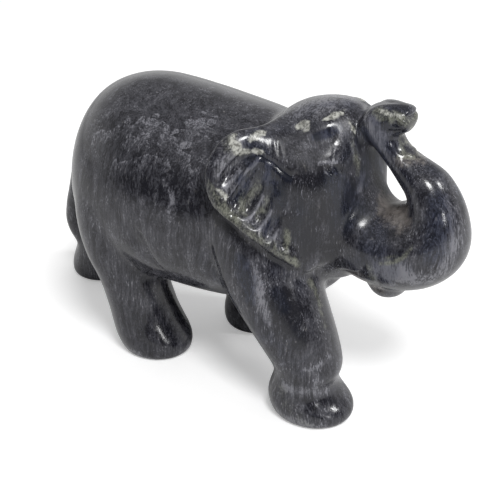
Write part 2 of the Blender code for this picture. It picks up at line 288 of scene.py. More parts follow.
# The face
# Gouged and rubbed down: a heavy brow over a hollow, a small eye under a cut lid, a ridge down
# each side of the forehead, and a mouth cut under the trunk. The trunk's tip is a rounded band
# round a flat, with the nostril hollowed out and the lip parted from the finger.
BROW = [
    # the brow
    ([(26.0, -11.2, 68.4), (28.2, -10.8, 69.2), (30.4, -9.0, 70.6), (32.7, -5.6, 72.0)],
     (2.4, 3.2, 3.2, 2.2), (0.0, -0.3, -0.4, -0.1)),
    # the ridge down the side of the forehead
    ([(32.5, -3.7, 72.9), (34.3, -4.7, 71.8), (36.0, -5.7, 69.5), (37.1, -6.2, 66.8), (37.7, -6.6, 64.1),
      (38.1, -5.8, 61.4)], 1.1, (0.0, -0.3, -0.4, -0.35, -0.25, 0.0)),
    # a fold under the brow
    ([(34.6, -9.5, 67.0), (34.8, -10.5, 66.0), (34.6, -11.5, 64.6)], 0.7, (0.0, -0.25, -0.05)),
]
SOCKET = [
    ([(27.6, -14.0, 65.8), (29.9, -11.9, 67.0), (31.5, -10.6, 67.8), (32.8, -9.3, 68.6),
      (33.8, -7.6, 70.0)], (1.4, 2.0, 2.2, 2.0, 1.4), (0.05, 0.25, 0.35, 0.3, 0.05)),
]
EYELID = [
    # the lid, and two wrinkles below it
    ([(32.5, -13.9, 63.2), (33.4, -13.1, 63.7), (34.3, -12.4, 63.7), (35.4, -11.1, 63.7)],
     0.45, (0.0, -0.18, -0.18, -0.05)),
    ([(34.1, -13.2, 62.9), (34.2, -13.4, 61.8), (34.9, -13.0, 60.8)], 0.35, (0.0, -0.12, -0.05)),
    ([(35.0, -12.0, 62.9), (35.5, -11.8, 61.5), (35.9, -11.6, 60.8)], 0.35, (0.0, -0.12, -0.05)),
]
EYE = [
    ([(34.5, -12.9, 62.8), (34.9, -12.5, 61.8)], 0.7, 0.25),
    ([(35.5, -11.4, 62.8), (36.1, -11.0, 61.8)], 0.7, 0.25),
    ([(33.4, -13.6, 63.0), (35.4, -11.6, 63.2), (36.5, -10.3, 62.2)], 0.4, (0.05, 0.25, 0.05)),
]
MOUTH = [
    # the slit over the lip, the corner of the mouth, and the jaw's lower edge
    ([(45.4, -7.6, 34.4), (46.9, -6.2, 33.5), (49.1, -5.6, 33.4), (51.4, -6.4, 34.7)],
     0.7, (0.3, 0.5, 0.5, 0.2)),
    ([(46.5, -11.1, 42.9), (47.0, -11.1, 41.0), (46.7, -10.2, 38.0), (45.6, -8.0, 34.8)],
     0.8, (0.0, 0.25, 0.35, 0.35)),
    ([(36.6, -8.9, 36.4), (39.0, -9.8, 37.4), (42.2, -10.7, 38.4)], 0.7, (0.0, 0.3, 0.2)),
]
CHEEK = [
    # a hollow before the cheek, and the trunk's side fold
    ([(42.5, -10.4, 37.8), (43.2, -11.3, 40.2), (44.1, -11.2, 43.7)], 1.3, (0.5, 0.4, 0.0)),
    ([(47.4, -11.0, 42.4), (50.3, -10.8, 43.2), (52.3, -10.3, 45.0), (53.6, -8.9, 48.4)],
     0.9, (0.0, -0.2, -0.2, 0.0)),
]
BAND = [
    # round the flat, and the finger's root below it
    ([(46.6, -1.0, 75.2), (44.6, -0.8, 75.4), (42.5, -2.0, 75.1), (40.3, -3.3, 74.0), (38.5, -4.2, 72.2),
      (37.6, -4.3, 70.5), (37.1, -4.9, 68.8)],
     (1.0, 1.5, 1.8, 1.9, 1.9, 1.8, 1.2), (0.0, -0.2, -0.4, -0.5, -0.5, -0.4, 0.0)),
    ([(47.0, -3.4, 64.9), (47.7, -2.3, 65.2), (48.4, -0.7, 65.1)], 0.8, (0.0, -0.25, -0.1)),
]
TRUNK_TIP = [
    # the nostril, and the groove that parts lip and finger
    ([(45.0, -4.3, 72.8), (45.8, -4.2, 72.2), (46.4, -3.9, 71.6)], 1.2, (0.3, 0.9, 0.7)),
    ([(43.8, -4.2, 70.6), (45.0, -3.5, 70.3), (46.4, -3.3, 70.6), (47.4, -2.5, 70.7)],
     0.6, (0.1, 0.4, 0.4, 0.1)),
    # the hollow at the very end, and the seam where the tip rests on the brow
    ([(47.0, -3.3, 73.5), (47.7, -1.9, 73.3), (47.9, 0.0, 73.2)], 0.8, (0.4, 0.8, 0.9)),
    ([(37.8, -1.9, 73.4), (36.8, -2.3, 72.3), (36.6, -4.0, 70.9), (37.0, -5.0, 69.0)],
     0.7, (0.2, 0.5, 0.5, 0.2)),
    # two hollows in the neck below
    ([(44.6, -3.8, 66.6), (45.5, -4.0, 65.2), (46.7, -3.9, 64.4)], 0.8, (0.0, 0.2, 0.1)),
    ([(47.5, -3.3, 64.4), (48.7, -2.2, 64.4), (50.0, -1.0, 64.2)], 0.6, (0.1, 0.3, 0.0)),
]
normals = even_normals(skin, places, ends)
for strokes, tool in ((BROW, rub), (SOCKET, rub), (EYE, rub), (EYELID, rub), (CHEEK, rub), (MOUTH, knife),
                      (BAND, gouge), (TRUNK_TIP, rub)):
    places = cut(places, normals, strokes, tool)

# The body
# Creases where the thighs and shoulders meet the belly, cut thin, and then the whole skin is rubbed
# down once more. It is one piece of stone, so it rides on the only body and stands for its solid.
CREASES = [
    ([(-10.8, -25.1, 42.2), (-7.8, -25.3, 39.7), (-7.0, -24.3, 36.6), (-6.2, -22.9, 33.0),
      (-4.4, -22.2, 30.7)], 0.7, (0.0, 0.35, 0.4, 0.4, 0.1)),
    ([(8.2, -23.5, 42.4), (9.0, -23.1, 39.8), (10.1, -22.3, 36.4), (11.1, -21.6, 33.7),
      (11.4, -20.0, 30.2)], 0.6, (0.0, 0.35, 0.35, 0.35, 0.2)),
]
CREASES_LEFT = [
    ([(-21.0, 25.3, 42.0), (-22.4, 25.0, 37.5), (-24.0, 23.6, 32.5), (-25.5, 21.5, 28.0)],
     0.7, (0.0, 0.35, 0.4, 0.1)),
    ([(17.6, 21.6, 41.0), (15.6, 22.6, 36.5), (13.6, 22.2, 31.0)], 0.6, (0.0, 0.35, 0.2)),
]
normals = even_normals(skin, places, ends)
places = cut(places, normals, CREASES + CREASES_LEFT, knife, sides=(1,))
degree = np.bincount(ends.ravel(), minlength=len(places)).astype(float)
for _ in range(2):
    places -= 0.5 * pull(places, ends, degree)
skin.vertices.foreach_set("co", (places * MM).ravel())
skin.update()
skin.shade_smooth()

carving = bpy.data.objects.new("elephant", skin)
bpy.context.scene.collection.objects.link(carving)
thin = carving.modifiers.new("fewer faces", "DECIMATE")
thin.ratio = min(1.0, MOST_TRIANGLES / (2 * len(skin.polygons)))
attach(carving, "root")
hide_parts(NODE)

# The stone
# A dark grey-violet stone of upright silky fibres, ground and polished. Pale feathery fronts cross
# the flanks, dark blue tints, partly painted shade, lie about the shoulders and head, and cream and
# olive show where it was cut deep. Painted shade and painted dark reflections lie in the hollows,
# under the brow and the ear's rim, on the cheek and the feet; painted highlights and sheen lie on the
# ear, the crown and the trunk, and painted reflections of the floor along the soles.
# Marks follow the carving: points, half widths and strengths, as the strokes have.
CREAM = [
    # the roll of the ear: its cream, spread wide and strong to stand in for part of the roll's highlight,
    # so partly a painted highlight
    ([(14.7, -20.0, 68.3), (15.6, -20.4, 66.5), (16.4, -20.5, 64.9)], (0.7, 1.0, 0.8), (0.7, 0.9, 1.0)),
    ([(16.6, -20.3, 65.0), (18.6, -19.0, 65.2), (20.9, -17.8, 65.2)], (0.7, 0.6, 0.5), (1.0, 0.75, 0.6)),
    ([(18.0, -18.4, 67.2), (18.9, -16.7, 68.3), (19.6, -15.4, 68.7)], (0.5, 0.8, 0.7), (0.7, 1.0, 0.9)),
    # over the brow
    ([(25.1, -9.3, 69.1), (26.4, -9.2, 69.8), (27.6, -10.0, 69.5)], (0.7, 1.0, 0.8), 0.95),
    ([(30.6, -7.8, 71.2), (31.6, -6.9, 71.7), (32.2, -5.7, 72.2), (33.0, -4.8, 72.4)],
     (0.4, 0.6, 0.8, 0.5), 1.0),
    # the trunk's tip, the forehead's ridge, the ear's rim and the tip's neck
    ([(41.0, -3.2, 74.2), (43.3, -3.7, 74.0), (45.1, -3.6, 74.2), (46.7, -3.4, 73.8)],
     (0.4, 0.6, 0.6, 0.5), (0.5, 0.7, 0.6, 0.5)),
    ([(35.4, -5.4, 70.6), (36.6, -5.5, 68.9)], 0.4, 0.7),
    ([(13.8, -24.6, 57.0), (14.7, -24.2, 56.3), (15.6, -23.7, 54.9)], 0.6, (0.4, 0.8, 0.5)),
    ([(45.4, -3.6, 65.8), (46.8, -3.6, 64.8)], 0.3, 0.4),
]
OLIVE = [
    # the ear's rim and roll, and the floors of its flutes
    ([(12.0, -25.1, 58.6), (13.2, -25.5, 55.9), (14.6, -25.2, 54.0), (17.0, -24.9, 51.6),
      (20.0, -24.5, 49.8), (22.8, -23.8, 47.8), (25.2, -22.7, 46.0), (27.6, -21.5, 44.2),
      (29.6, -20.0, 42.3), (31.0, -18.5, 40.7)],
     (0.9, 1.3, 1.5, 1.6, 1.5, 1.4, 1.3, 1.2, 1.0, 0.8),
     (0.4, 0.8, 0.9, 0.9, 0.8, 0.75, 0.7, 0.7, 0.85, 0.9)),
    ([(14.4, -20.4, 68.0), (15.3, -21.4, 65.6), (16.6, -20.6, 64.6)], 1.4, 0.7),
    ([(21.2, -19.4, 59.7), (20.7, -19.9, 56.8), (20.0, -20.9, 54.3), (19.5, -22.4, 52.4)],
     1.2, (0.3, 0.7, 0.9, 1.0)),
    ([(23.4, -19.1, 56.8), (22.9, -19.7, 53.7), (22.3, -21.0, 51.2)], 1.0, (0.3, 0.7, 0.7)),
    ([(28.3, -19.3, 48.4), (28.9, -20.2, 44.6)], 0.6, 1.0),
    # the forehead's ridge
    ([(32.8, -3.8, 72.8), (34.6, -4.8, 71.7), (36.6, -5.5, 69.0), (36.9, -6.7, 67.2), (37.4, -6.7, 65.2),
      (38.0, -6.1, 62.8), (38.4, -5.9, 60.3)],
     (0.4, 0.4, 0.6, 0.5, 0.6, 1.0, 0.7), (0.4, 0.5, 0.6, 0.5, 0.6, 1.0, 0.7)),
    # the trunk's tip and its neck
    ([(41.0, -3.4, 73.8), (43.3, -3.9, 73.6), (45.1, -3.8, 73.8), (46.6, -3.4, 73.4), (47.6, -2.4, 72.8),
      (47.8, 0.0, 71.0)], 1.1, 0.95),
    ([(45.2, -1.1, 68.6), (46.2, -1.3, 66.6), (47.2, -2.3, 65.3)], 1.0, (0.5, 0.7, 0.8)),
    ([(46.4, -3.2, 65.0), (48.4, -1.7, 64.9), (50.2, 0.3, 64.3)], 0.8, (0.7, 0.9, 0.5)),
    # the trunk's side fold and the corner of the mouth
    ([(47.2, -11.0, 42.3), (50.0, -10.8, 43.4), (52.3, -10.3, 44.9), (53.7, -9.2, 47.8)],
     0.5, (0.7, 0.9, 0.8, 0.5)),
    ([(48.0, -10.8, 43.9), (50.8, -10.4, 45.2)], 0.35, 0.7),
    ([(44.6, -11.6, 42.0), (45.4, -11.0, 38.4), (44.6, -9.0, 35.2)], (0.8, 1.4, 1.4), 0.55),
    # the front edge of the fore leg, and its foot
    ([(32.3, -15.2, 35.4), (33.6, -14.0, 31.7), (35.0, -14.3, 28.1), (36.7, -15.0, 23.7)],
     (1.0, 1.0, 0.7, 0.5), (0.8, 0.7, 0.6, 0.5)),
    ([(30.0, -21.0, 9.0), (33.0, -22.0, 4.0), (38.0, -20.0, 1.5)], 2.0, 0.35),
]
BROWN = [
    # inside the trunk's curl, its neck and the jaw
    ([(43.2, 0.0, 51.9), (46.0, -2.4, 52.0), (49.4, -5.4, 51.4)], (2.2, 3.4, 2.2), 0.9),
    ([(47.4, -3.0, 63.6), (49.6, -0.6, 62.8)], 1.5, 0.5),
    ([(40.0, -9.0, 33.6), (43.0, -7.0, 31.6)], 3.0, 0.6),
]
NAVY_AND_PAINTED_SHADE = [
    # painted dark reflections on the trunk's root and under the brow, painted shadow in the trunk's neck,
    # painted shade in its loop, and a navy tint on its outer curve
    ([(36.0, -12.4, 60.0), (37.6, -10.2, 56.0), (38.6, -9.4, 51.6)], (2.0, 3.0, 3.5), 1.0),
    ([(30.2, -10.8, 68.3), (32.0, -9.6, 69.0), (33.8, -7.7, 70.2)], (0.8, 1.0, 0.8), 1.0),
    ([(38.6, -4.8, 69.3), (41.0, -4.3, 66.4), (43.4, -4.1, 63.9)], 1.2, 1.0),
    ([(38.8, 1.0, 62.4), (38.7, 4.2, 58.6)], 2.2, 1.0),
    ([(57.0, -5.0, 58.0), (58.4, -6.4, 53.0), (57.8, -7.6, 47.0)], (2.0, 2.6, 2.4), 0.8),
    # painted shade in the ear's flutes and under the fold over them
    ([(17.4, -22.4, 55.1), (18.6, -21.0, 58.6)], 1.3, 0.9),
    ([(22.6, -19.2, 60.0), (24.6, -19.0, 58.0), (25.6, -18.8, 55.0)], (1.4, 2.2, 1.6), 1.0),
    ([(20.8, -18.4, 63.8), (24.0, -17.8, 62.2), (27.4, -17.0, 60.0)], (0.9, 1.2, 0.8), 1.0),
    ([(25.4, -19.4, 51.0), (25.0, -21.2, 48.2)], 1.2, 0.7),
    # a painted dark reflection on the shoulder
    ([(19.4, -24.2, 40.5), (21.5, -24.8, 35.6), (22.5, -25.1, 32.2)], (1.6, 1.8, 1.2), 0.9),
    ([(28.0, -22.8, 35.0), (29.6, -22.4, 31.0)], (1.2, 1.4), 0.7),
]
PAINTED_SHADE = [
    # painted dark reflections on the cheek and the side of the trunk's root
    ([(30.0, -16.7, 58.0), (31.4, -16.8, 52.4), (32.9, -15.9, 46.3)], (3.5, 5.0, 4.0), 0.9),
    ([(33.7, -14.5, 59.3), (35.7, -13.4, 54.6), (36.6, -12.3, 47.0), (35.6, -12.4, 41.8)],
     (2.0, 3.0, 3.4, 2.0), 0.95),
    # painted dark reflections on the hind foot and the fore foot
    ([(-14.2, -19.8, 10.1), (-10.2, -17.7, 7.3), (-7.6, -11.7, 6.9)], (2.6, 3.2, 2.6), 0.55),
    ([(-11.5, -9.6, 13.6), (-8.8, -8.4, 7.8)], (3.0, 2.6), 0.5),
    ([(34.5, -22.2, 8.3), (37.9, -19.8, 7.0), (40.0, -15.4, 6.3)], (1.2, 1.6, 1.3), 0.6),
    # painted shadow under the ear's rim, and a painted dark reflection down the fore leg
    ([(11.2, -22.3, 50.0), (15.8, -22.9, 47.5), (20.9, -22.6, 44.6), (25.3, -21.2, 42.0),
      (29.2, -19.0, 39.6)], (0.9, 1.2, 1.2, 1.0, 0.6), 1.0),
    ([(28.8, -22.4, 32.9), (31.3, -22.1, 28.3), (33.8, -21.7, 23.7)], (2.2, 2.8, 2.2), 1.0),
    # painted shade in the eye, the nostril and under the fold over the cheek
    ([(33.4, -13.6, 62.6), (34.6, -12.9, 61.9), (36.4, -10.8, 61.9)], 1.0, 1.0),
    ([(43.6, -4.2, 71.9), (45.0, -4.0, 71.6), (46.6, -3.4, 70.8)], 1.0, 1.0),
    ([(24.6, -17.6, 61.8), (26.8, -17.2, 60.4), (28.6, -16.8, 59.6)], (1.0, 1.3, 0.8), 1.0),
]
PALE_AND_PAINTED_LIGHT = [
    # painted reflections of the pale floor along the edges of the soles, and the fore foot made paler
    ([(-21.5, -20.0, 1.4), (-15.0, -19.6, 1.2), (-9.0, -15.0, 1.2), (-6.5, -9.0, 1.4)], 1.5, 0.55),
    ([(29.0, -23.0, 2.0), (34.0, -23.0, 1.4), (39.5, -19.5, 1.4), (42.0, -13.0, 1.4)], 1.6, 0.6),
    ([(31.0, -22.8, 10.5), (34.6, -22.2, 10.0), (38.6, -18.0, 9.0)], 1.3, 0.55),
    # painted sheen on the crown and along the trunk's outer curve; the muzzle and the tip made paler
    ([(23.0, -5.0, 71.8), (27.0, -3.5, 73.0), (31.0, -1.5, 73.2)], (3.0, 4.0, 2.5), 0.6),
    ([(47.6, -10.8, 40.6), (50.9, -10.6, 40.4), (54.0, -9.5, 39.8)], (2.0, 2.8, 2.0), 0.9),
    ([(59.6, -3.6, 58.0), (61.2, -4.0, 52.0), (61.4, -5.6, 45.0), (58.6, -7.6, 40.0)],
     (1.2, 2.0, 2.4, 2.2), 0.55),
    ([(40.3, -4.6, 72.4), (41.7, -5.1, 69.4), (43.1, -4.6, 66.5)], (1.2, 1.6, 0.9), 0.8),
    # a painted reflection on the loop's wall, a pale streak on the fore leg, and two on the flank
    ([(38.7, 3.8, 59.7), (38.7, 5.7, 56.0)], 0.6, 1.0),
    ([(21.9, -23.3, 40.9), (24.0, -24.0, 36.0), (26.0, -24.6, 30.4), (27.2, -24.8, 27.0)],
     (0.7, 1.0, 1.2, 0.5), 0.8),
    ([(-3.1, -22.0, 54.2), (0.1, -23.2, 51.0), (-0.8, -24.5, 46.2)], (0.4, 0.7, 0.5), (0.7, 1.0, 0.6)),
    ([(-1.3, -22.7, 52.4), (1.4, -23.5, 49.7), (1.4, -24.4, 46.2)], 0.4, (0.5, 0.9, 0.5)),
    # painted highlights on the ridges of the ear's flutes
    ([(16.6, -22.6, 60.0), (15.4, -24.2, 57.0)], 0.8, 0.6),
    ([(26.0, -20.6, 48.6), (25.0, -21.8, 46.8)], 0.7, 0.7),
    ([(13.4, -23.6, 60.0), (14.3, -22.3, 61.7), (15.0, -21.6, 63.1), (15.8, -21.0, 64.3)], 0.4, 1.0),
    ([(15.6, -22.3, 58.6), (16.2, -21.7, 59.8), (16.8, -21.0, 61.2)], 0.4, 1.0),
    ([(20.4, -18.7, 63.5), (19.8, -19.3, 62.6), (18.2, -20.4, 60.3), (17.1, -21.1, 58.4),
      (16.4, -22.2, 56.4)], 0.4, 1.0),
    ([(21.8, -19.7, 55.4), (21.2, -20.8, 53.2), (20.7, -22.2, 51.8), (19.6, -23.8, 50.9)], 0.4, 1.0),
    ([(24.3, -19.8, 52.6), (23.7, -21.2, 50.5), (23.0, -22.7, 48.9)], 0.4, 1.0),
    ([(26.5, -20.0, 48.8), (26.1, -20.9, 47.3), (25.4, -21.7, 46.6)], 0.4, 1.0),
    # the eye's lid and wrinkles
    ([(32.9, -13.5, 63.6), (34.3, -12.4, 63.9), (35.7, -10.9, 63.8)], 0.4, 1.0),
    ([(34.0, -13.3, 63.0), (34.4, -13.1, 61.6)], 0.35, 0.8),
    ([(35.0, -12.0, 63.0), (35.6, -11.6, 61.4)], 0.35, 0.8),
    # the whole ear faintly paler, a painted highlight on its roll, and the crease over the fore foot
    ([(15.5, -22.4, 61.0), (18.0, -21.5, 57.0), (21.0, -20.5, 53.0), (24.0, -21.0, 49.5)], 3.5, 0.28),
    ([(14.0, -23.4, 62.4), (15.4, -21.5, 65.2), (17.4, -18.8, 67.6)], 1.6, 0.55),
    ([(38.6, -16.1, 18.3), (37.6, -19.8, 16.9), (35.6, -22.1, 16.4)], 0.4, 0.7),
]
UNPOLISHED = [
    # the trunk's loop, the hollow between ear and brow, and the forehead's ridge
    ([(38.7, 2.0, 66.0), (38.7, 3.0, 58.0), (40.6, 3.0, 54.4)], (3.0, 5.5, 4.0), 1.0),
    ([(26.5, -14.0, 67.0), (28.6, -13.2, 66.4), (30.8, -11.6, 66.2)], (2.0, 2.6, 1.8), 1.2),
    ([(27.4, -15.0, 65.4), (30.4, -13.2, 64.4)], 2.4, 1.2),
    ([(34.0, -6.0, 71.3), (35.6, -5.9, 69.9), (36.6, -5.8, 68.4)], 1.1, 0.6),
]
# The top edges of the feathery fronts on the flanks, as lines of (x, z)
FRONTS = [
    [(-28, 57), (-25.8, 59.2), (-21.6, 61.3), (-17.9, 63.0), (-15.5, 64.5), (-13.0, 65.7), (-9.0, 65.3)],
    [(-12.3, 62.9), (-11.0, 64.2), (-9.0, 64.6), (-5.6, 63.8), (-0.8, 61.6), (2.5, 58.9), (6.3, 56.2)],
    [(-17.9, 59.6), (-16.0, 61.2), (-13.6, 62.0), (-10.5, 61.7), (-7.1, 60.4)],
    [(-19.5, 51.0), (-18.5, 54.0), (-16.9, 56.1), (-13.2, 56.3), (-11.1, 57.7), (-8.4, 59.0),
     (-5.0, 59.0), (-2.0, 58.1), (1.3, 55.8)],
    [(-5.3, 64.9), (-3.8, 65.7), (-0.9, 66.6), (2.9, 65.9), (5.9, 65.0)],
]
# The top edge of the dark band under them, as (x, z)
SHADE_EDGE = [(-40, 49), (-27.4, 51.0), (-22.3, 50.2), (-18.0, 50.5), (-12.6, 51.2), (-8.9, 50.7),
              (-4.2, 50.8), (2, 47), (9, 40)]
FARTHEST = 3.0  # mm, from a mark's middle to the skin


def mark(places, strokes):
    """How strongly a set of marks covers each vertex, 0 to 1. A mark on a leg is left out on the
    side where that leg stands elsewhere."""
    share_of_all = np.zeros(len(places))
    for side in (1, -1):
        for points, widths, depths in strokes:
            line = curve(points) * (1, side, 1)
            if ((places - line[len(line) // 2]) ** 2).sum(axis=1).min() > FARTHEST**2:
                continue
            line = lay_down(line, places)
            chosen, gap, share = reach(places, line, 1.6 * np.max(widths))
            # full out to 0.4 of the half width, a quarter is left at 1.6
            amount = along(depths, share) * np.clip(1.25 - 0.625 * gap / along(widths, share), 0, 1)
            share_of_all[chosen] = np.maximum(share_of_all[chosen], amount)
    return share_of_all


def paint(name, values):
    """Keeps a value for each vertex of the skin, for the stone to read."""
    layer = skin.attributes.new(name, "FLOAT", "POINT")
    layer.data.foreach_set("value", values.astype(np.float32))


x, y, z = places.T
# The deep marks are painted shade and painted dark reflections, the light marks pale streaks with painted
# highlights, sheen and reflections of the floor, and the navy marks a tint with painted shade.
for name, strokes in (("cream", CREAM), ("olive", OLIVE), ("brown", BROWN), ("navy_tint_and_shade", NAVY_AND_PAINTED_SHADE), ("deep", PAINTED_SHADE),
                      ("light", PALE_AND_PAINTED_LIGHT), ("unpolished", UNPOLISHED)):
    paint(name, mark(places, strokes))
for number, line in enumerate(FRONTS):
    along_x, heights = np.array(line, dtype=float).T
    paint(f"front_{number}", np.interp(x, along_x, heights, -99, -99) - z)
along_x, heights = np.array(SHADE_EDGE, dtype=float).T
paint("shade", z - np.interp(x, along_x, heights))

stone = bpy.data.materials.new("polished_stone")
stone.use_nodes = True
nodes, links = stone.node_tree.nodes, stone.node_tree.links
shader = nodes["Principled BSDF"]


def feed(socket, value):
    """Gives a socket its value, or the socket that drives it."""
    if isinstance(value, bpy.types.NodeSocket):
        links.new(value, socket)
    else:
        socket.default_value = value


def work(operation, first, second=0.0):
    """A number worked out from one or two others."""
    node = nodes.new("ShaderNodeMath")
    node.operation = operation
    feed(node.inputs[0], first)
    feed(node.inputs[1], second)
    return node.outputs[0]


def vector_work(operation, first, second):
    """A place worked out from two others."""
    node = nodes.new("ShaderNodeVectorMath")
    node.operation = operation
    feed(node.inputs[0], first)
    feed(node.inputs[1], second)
    return node.outputs["Vector"]


def remap(value, low, high, start=0.0, end=1.0):
    """A number that goes smoothly from start to end while the value goes from low to high."""
    node = nodes.new("ShaderNodeMapRange")
    node.interpolation_type = "SMOOTHSTEP"
    feed(node.inputs["Value"], value)
    for name, number in (("From Min", low), ("From Max", high), ("To Min", start), ("To Max", end)):
        node.inputs[name].default_value = number
    return node.outputs["Result"]


def cloud(place, size, detail, harshness, number):
    """An uneven value of about 0 to 1, with lumps of the given size (x, y, z) in mm. Each cloud has
    a number of its own, so that no two fall alike."""
    shift = (number * 7.31, number * 3.77, number * 5.13)
    scaled = vector_work("DIVIDE", vector_work("ADD", place, shift), size)
    node = nodes.new("ShaderNodeTexNoise")
    node.noise_dimensions = "3D"
    feed(node.inputs["Vector"], scaled)
    node.inputs["Scale"].default_value = 1.0
    node.inputs["Detail"].default_value = detail
    node.inputs["Roughness"].default_value = harshness
    return node.outputs["Fac"]


def blend(share, first, second):
    """One colour laid over another."""
    node = nodes.new("ShaderNodeMix")
    node.data_type = "RGBA"
    feed(node.inputs["Factor"], share)
    feed(node.inputs["A"], first)
    feed(node.inputs["B"], second)
    return node.outputs["Result"]


def reading(name):
    """A value kept at the vertices of the skin."""
    node = nodes.new("ShaderNodeAttribute")
    node.attribute_name = name
    return node.outputs["Fac"]


def frayed_mark(name, low, high):
    """A painted mark, stone colour and painted light and shade alike, with its edge broken up along the
    fibres.
    """
    broken = work("ADD", work("MULTIPLY", patchy, 1.1), work("MULTIPLY", fine, 0.7))
    amount = work("MULTIPLY", reading(name), remap(reading(name), 0.0, 0.3))
    return remap(work("ADD", amount, work("SUBTRACT", broken, 0.9)), low, high)


# Places in millimetres, with the fibres gently bent
metres = nodes.new("ShaderNodeTexCoord").outputs["Object"]
straight = vector_work("MULTIPLY", metres, (1000.0, 1000.0, 1000.0))
lean = nodes.new("ShaderNodeCombineXYZ")
for number, axis in ((1, "X"), (2, "Y")):
    sway = cloud(straight, (14.0, 14.0, 30.0), 2.0, 0.5, number)
    feed(lean.inputs[axis], remap(sway, 0.2, 0.8, -1.6, 1.6))
place = vector_work("ADD", straight, lean.outputs["Vector"])
parts = nodes.new("ShaderNodeSeparateXYZ")
feed(parts.inputs[0], straight)
forward = parts.outputs["X"]

# Fibres: fine ones on broader streaks, and short pale hairs and specks among them
fine = cloud(place, (0.42, 0.42, 5.0), 3.0, 0.6, 3)
broad = cloud(place, (1.7, 1.7, 16.0), 3.0, 0.55, 4)
fibre = remap(work("ADD", work("MULTIPLY", fine, 0.55), work("MULTIPLY", broad, 0.45)), 0.36, 0.66)
mottle = remap(cloud(straight, (5.0, 5.0, 6.0), 4.0, 0.6, 5), 0.3, 0.7)
patchy = cloud(straight, (1.3, 1.3, 1.8), 3.0, 0.6, 10)
hairs = work("MULTIPLY", remap(cloud(place, (0.3, 0.3, 1.8), 2.0, 0.5, 11), 0.58, 0.68),
             remap(cloud(straight, (4.0, 4.0, 5.0), 3.0, 0.6, 12), 0.42, 0.6))
specks = work("MULTIPLY", remap(cloud(straight, (0.4, 0.4, 0.7), 1.0, 0.5, 13), 0.66, 0.76),
              remap(cloud(straight, (6.0, 6.0, 8.0), 2.0, 0.5, 14), 0.45, 0.65))
grain = work("SUBTRACT", cloud(place, (0.3, 0.3, 0.55), 2.0, 0.7, 16), 0.5)

# Feathery fronts: each is pale at its top edge, which is scalloped and torn along the fibres, and
# fades downwards in streaks. The dark band across the flank has the same torn edge.
torn = work("MULTIPLY", work("SUBTRACT", cloud(place, (0.5, 0.5, 4.0), 2.0, 0.5, 6), 0.5), 1.3)
scallops = work("ABSOLUTE", work("SUBTRACT", cloud(straight, (3.6, 3.6, 18.0), 1.0, 0.4, 7), 0.5))
torn = work("ADD", torn, work("MULTIPLY", scallops, 11.0))
torn = work("SUBTRACT", torn, 1.0)
streaks = remap(fine, 0.36, 0.64, 0.6, 1.2)
feathers = []
for number in range(len(FRONTS)):
    drop = work("ADD", reading(f"front_{number}"), torn)
    fading = work("MULTIPLY", work("POWER", remap(drop, 0.0, 7.5, 1.0, 0.0), 2.2), 0.75)
    fading = work("ADD", fading, remap(drop, 0.2, 1.2, 0.35, 0.0))
    feathers.append(work("MULTIPLY", work("MULTIPLY", remap(drop, 0.0, 0.3), fading), streaks))
front = feathers[0]
for feather in feathers[1:]:
    front = work("MAXIMUM", front, feather)
shade = work("ADD", reading("shade"), torn)
shade = work("MULTIPLY", remap(shade, -0.6, 0.6), remap(shade, 8.0, 16.0, 1.0, 0.0))
shade = work("MULTIPLY", shade, remap(forward, -26.0, -18.0))
shade = work("MULTIPLY", shade, remap(forward, 4.0, 12.0, 1.0, 0.0))

# Light and dark of the whole, then its tints
paleness = work("ADD", work("MULTIPLY", fibre, 0.55), work("MULTIPLY", mottle, 0.25))
paleness = work("ADD", paleness, work("MULTIPLY", grain, 0.9))
paleness = work("SUBTRACT", paleness, work("MULTIPLY", shade, 0.22))
paleness = work("ADD", paleness, work("MULTIPLY", front, 0.48))
paleness = work("ADD", paleness, work("MULTIPLY", hairs, remap(forward, 6.0, 22.0, 0.4, 0.7)))
paleness = work("ADD", paleness, work("MULTIPLY", specks, 0.4))
# Painted shade and painted dark reflections darken the stone here.
paleness = work("SUBTRACT", paleness, work("MULTIPLY", frayed_mark("deep", 0.0, 1.0), 0.35))
# Painted highlights, sheen and floor reflections, with some pale streaks, lighten it here.
paleness = work("ADD", paleness, work("MULTIPLY", frayed_mark("light", 0.0, 1.0), 0.65))
DARK, MIDDLE, PALE = (0.0085, 0.0085, 0.0125, 1), (0.040, 0.040, 0.0485, 1), (0.19, 0.19, 0.213, 1)
colour = blend(remap(paleness, 0.05, 0.5), DARK, MIDDLE)
colour = blend(remap(paleness, 0.45, 1.15), colour, PALE)
# The stone's own navy tint, stronger towards the head, and over it the painted shade and painted dark
# reflections of the navy marks.
navy_tint_and_shade = remap(cloud(straight, (13.0, 13.0, 18.0), 3.0, 0.55, 9), 0.5, 0.68)
navy_tint_and_shade = work("MULTIPLY", navy_tint_and_shade, remap(forward, 0.0, 16.0, 0.0, 0.6))
navy_tint_and_shade = work("MAXIMUM", navy_tint_and_shade, work("MULTIPLY", frayed_mark("navy_tint_and_shade", 0.1, 0.9), 0.8))
navy_tint_and_shade_colour = blend(remap(paleness, 0.2, 0.8), (0.007, 0.009, 0.017, 1), (0.032, 0.037, 0.062, 1))
colour = blend(navy_tint_and_shade, colour, navy_tint_and_shade_colour)
brown_stone = blend(remap(patchy, 0.25, 0.75), (0.115, 0.1, 0.091, 1), (0.225, 0.203, 0.186, 1))
colour = blend(work("MULTIPLY", frayed_mark("brown", 0.1, 0.9), 0.75), colour, brown_stone)
lumps = remap(work("ADD", patchy, grain), 0.3, 0.7)
olive_stone = blend(lumps, (0.04, 0.041, 0.034, 1), (0.2, 0.205, 0.165, 1))
colour = blend(work("MULTIPLY", frayed_mark("olive", 0.2, 1.1), 0.8), colour, olive_stone)
crumbs = remap(cloud(straight, (0.6, 0.6, 0.8), 3.0, 0.6, 15), 0.35, 0.62)
